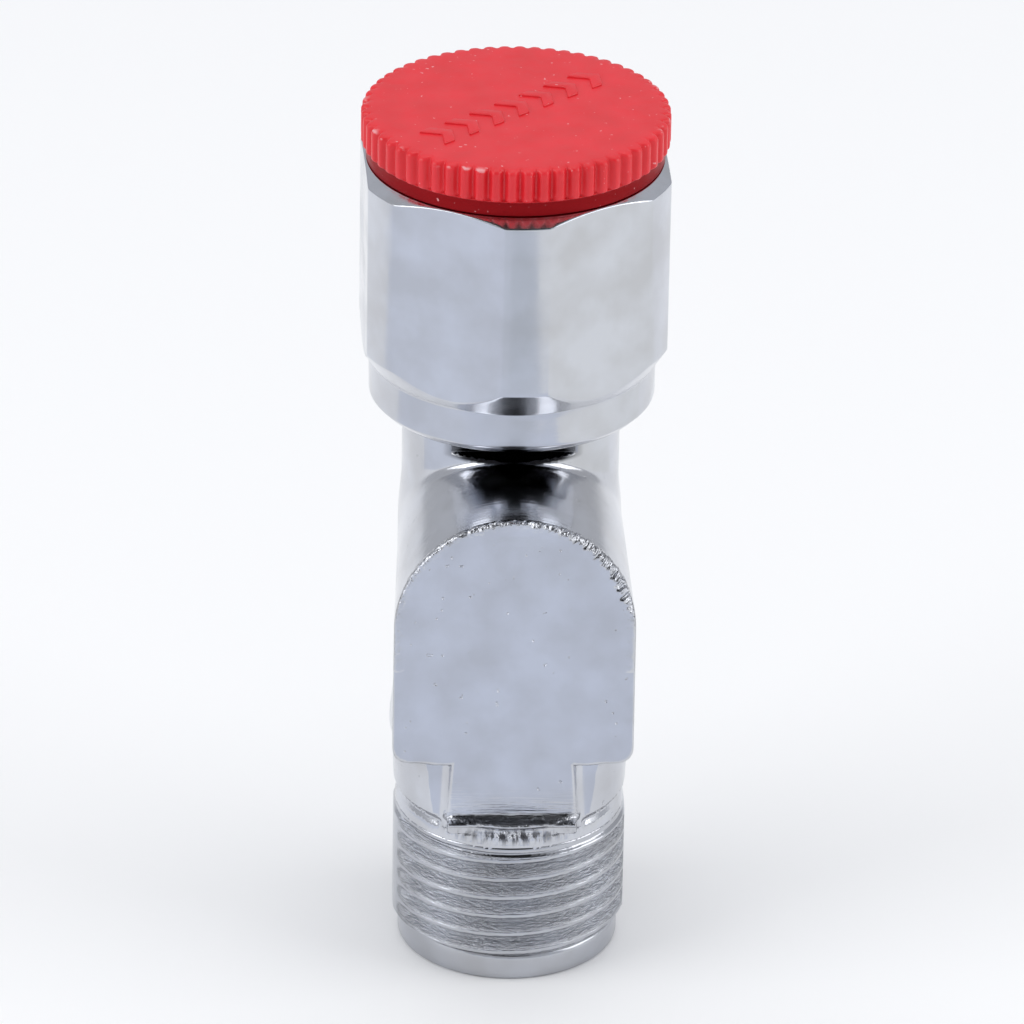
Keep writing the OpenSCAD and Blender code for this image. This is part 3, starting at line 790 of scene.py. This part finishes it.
shank_r = 9.3 + 0.75 * np.clip((0.42 - np.abs(shank_phase - 0.5)) / 0.3, 0, 1)
plug_rows += [(r, z, 0) for r, z in zip(shank_r, shank_z)]
plug_rows += [(9.1, plug_low[2], 0), (8.0, plug_low[2], 0), (7.8, plug_low[2] + 0.2, 0),
              (7.8, head_z - 0.6, 0), (7.3, head_z - 0.05, 0), (6.5, head_z, 0), (0.0, head_z, 0)]
plug_rows = np.array(plug_rows, float)
rib_phase = (plug_angle * RIBS / (2 * np.pi)) % 1.0
rib_groove = 0.5 * np.abs(np.cos(np.pi * rib_phase)) ** 4
plug_radius = plug_rows[:, :1] - plug_rows[:, 2:3] * rib_groove[None, :]
plug = turned_grid("plug_moulding", plug_radius, plug_rows[:, 1:2], plug_angle, axis_y=NECK_Y, ring=False)
spots = point_array(plug)
# Painted shade: 1 on the shoulder below the ribs, which the red plastic's colour darkens.
store(plug, "shaded", np.clip((head_z - spots[:, 2]) / 0.1, 0, 1))
from_axis = np.hypot(spots[:, 0], spots[:, 1] - NECK_Y)
store(plug, "rim", near(from_axis - 13.15, 0.35) * near(spots[:, 2] - plug_face, 0.6))
finish_piece(plug, "plug", "red_plastic", red_plastic, "screw_plug")

# %% [markdown]
# ### The mark on the plug
# A raised row of chevrons crosses the top. Each one is a small prism with a bevelled top edge,
# sunk a little into the face, so it reads as moulded in.

# %% Raise the chevrons
def chevron_row():
    """Seven chevron prisms along a diagonal: a six-cornered outline, repeated and turned."""
    outline = np.array([(-1.2, -1.6), (0, -1.6), (1.2, 0), (0, 1.6), (-1.2, 1.6), (0, 0)])
    turn = math.radians(42)
    spin = np.array([[math.cos(turn), math.sin(turn)], [-math.sin(turn), math.cos(turn)]])
    points, faces = [], []
    for k in range(-3, 4):
        flat = (outline + (2.9 * k, 0)) @ spin + (0, NECK_Y)
        for z in (plug_face - 0.1, plug_face + 0.19):
            points.append(np.column_stack([flat, np.full(6, z)]))
        first = (k + 3) * 12
        faces.append([first + 5 - i for i in range(6)])
        faces.append([first + 6 + i for i in range(6)])
        faces += [[first + i, first + (i + 1) % 6, first + 6 + (i + 1) % 6, first + 6 + i]
                  for i in range(6)]
    mesh = bpy.data.meshes.new("plug_mark")
    mesh.from_pydata(np.concatenate(points) * MM, [], faces)
    mesh.update()
    item = bpy.data.objects.new("plug_mark", mesh)
    bpy.context.scene.collection.objects.link(item)
    bevel = item.modifiers.new("edge", "BEVEL")
    bevel.width = 0.12 * MM
    bevel.segments = 3
    mesh.shade_smooth()
    return item


finish_piece(chevron_row(), "plug", "red_plastic", red_plastic)

# %% [markdown]
# ## The spring
# The spring is a wire carried along a helix whose ends are wound flat. In the frame it is a plain
# coil; here the pitch eases to zero over the first and last turn, as on a ground spring. It
# shortens as the poppet lifts.

# %% Wind the spring
spring_low, spring_high = node_box("check_spring")
WIRE_R, COIL_R = 0.3, 2.9


def wound_wire(turns, sides=12, per_turn=40):
    """Tube round a helix: centre (R cos a, R sin a, h), h easing in and out over one turn."""
    share = np.linspace(0, 1, turns * per_turn + 1)
    angle = 2 * np.pi * turns * share
    ease = np.clip((share - 0.5) / (1 - 1.6 / turns) + 0.5, 0, 1)
    ease = ease + 0.05 * (share - ease)
    height = spring_low[2] + WIRE_R + (spring_high[2] - spring_low[2] - 2 * WIRE_R) * ease
    round_wire = np.linspace(0, 2 * np.pi, sides, endpoint=False)
    radius = COIL_R + WIRE_R * np.cos(round_wire)[None, :]
    points = np.stack([radius * np.cos(angle)[:, None], radius * np.sin(angle)[:, None],
                       height[:, None] + WIRE_R * np.sin(round_wire)[None, :]], -1).reshape(-1, 3)
    row, column = np.meshgrid(np.arange(len(angle) - 1), np.arange(sides), indexing="ij")
    after = (column + 1) % sides
    faces = np.stack([row * sides + column, (row + 1) * sides + column,
                      (row + 1) * sides + after, row * sides + after], -1).reshape(-1, 4).tolist()
    faces += [list(range(sides)), list(range(len(points) - 1, len(points) - 1 - sides, -1))]
    mesh = bpy.data.meshes.new("poppet_spring")
    mesh.from_pydata(points * MM, [], faces)
    mesh.update()
    item = bpy.data.objects.new("poppet_spring", mesh)
    bpy.context.scene.collection.objects.link(item)
    merge_doubles(item)
    return item


spring = wound_wire(5)
finish_piece(spring, "housing", "spring_steel", spring_steel, "check_spring")
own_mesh(spring)

# %% [markdown]
# ## The pieces inside
# The remaining nodes keep their CAD shape. Their material slots take the finishes made above.

# %% Finish the CAD nodes
slots = {entry["node"]: entry["material_slot"] for entry in frame["record"]["subparts"]}
rebuilt = {"body", "union_nut", "screw_plug", "check_spring"}
for name, node in frame["nodes"].items():
    if name in rebuilt:
        continue
    node.data.materials.clear()
    node.data.materials.append(FINISHES[slots[name]])
print(len(frame["nodes"]) - len(rebuilt), "nodes finished")
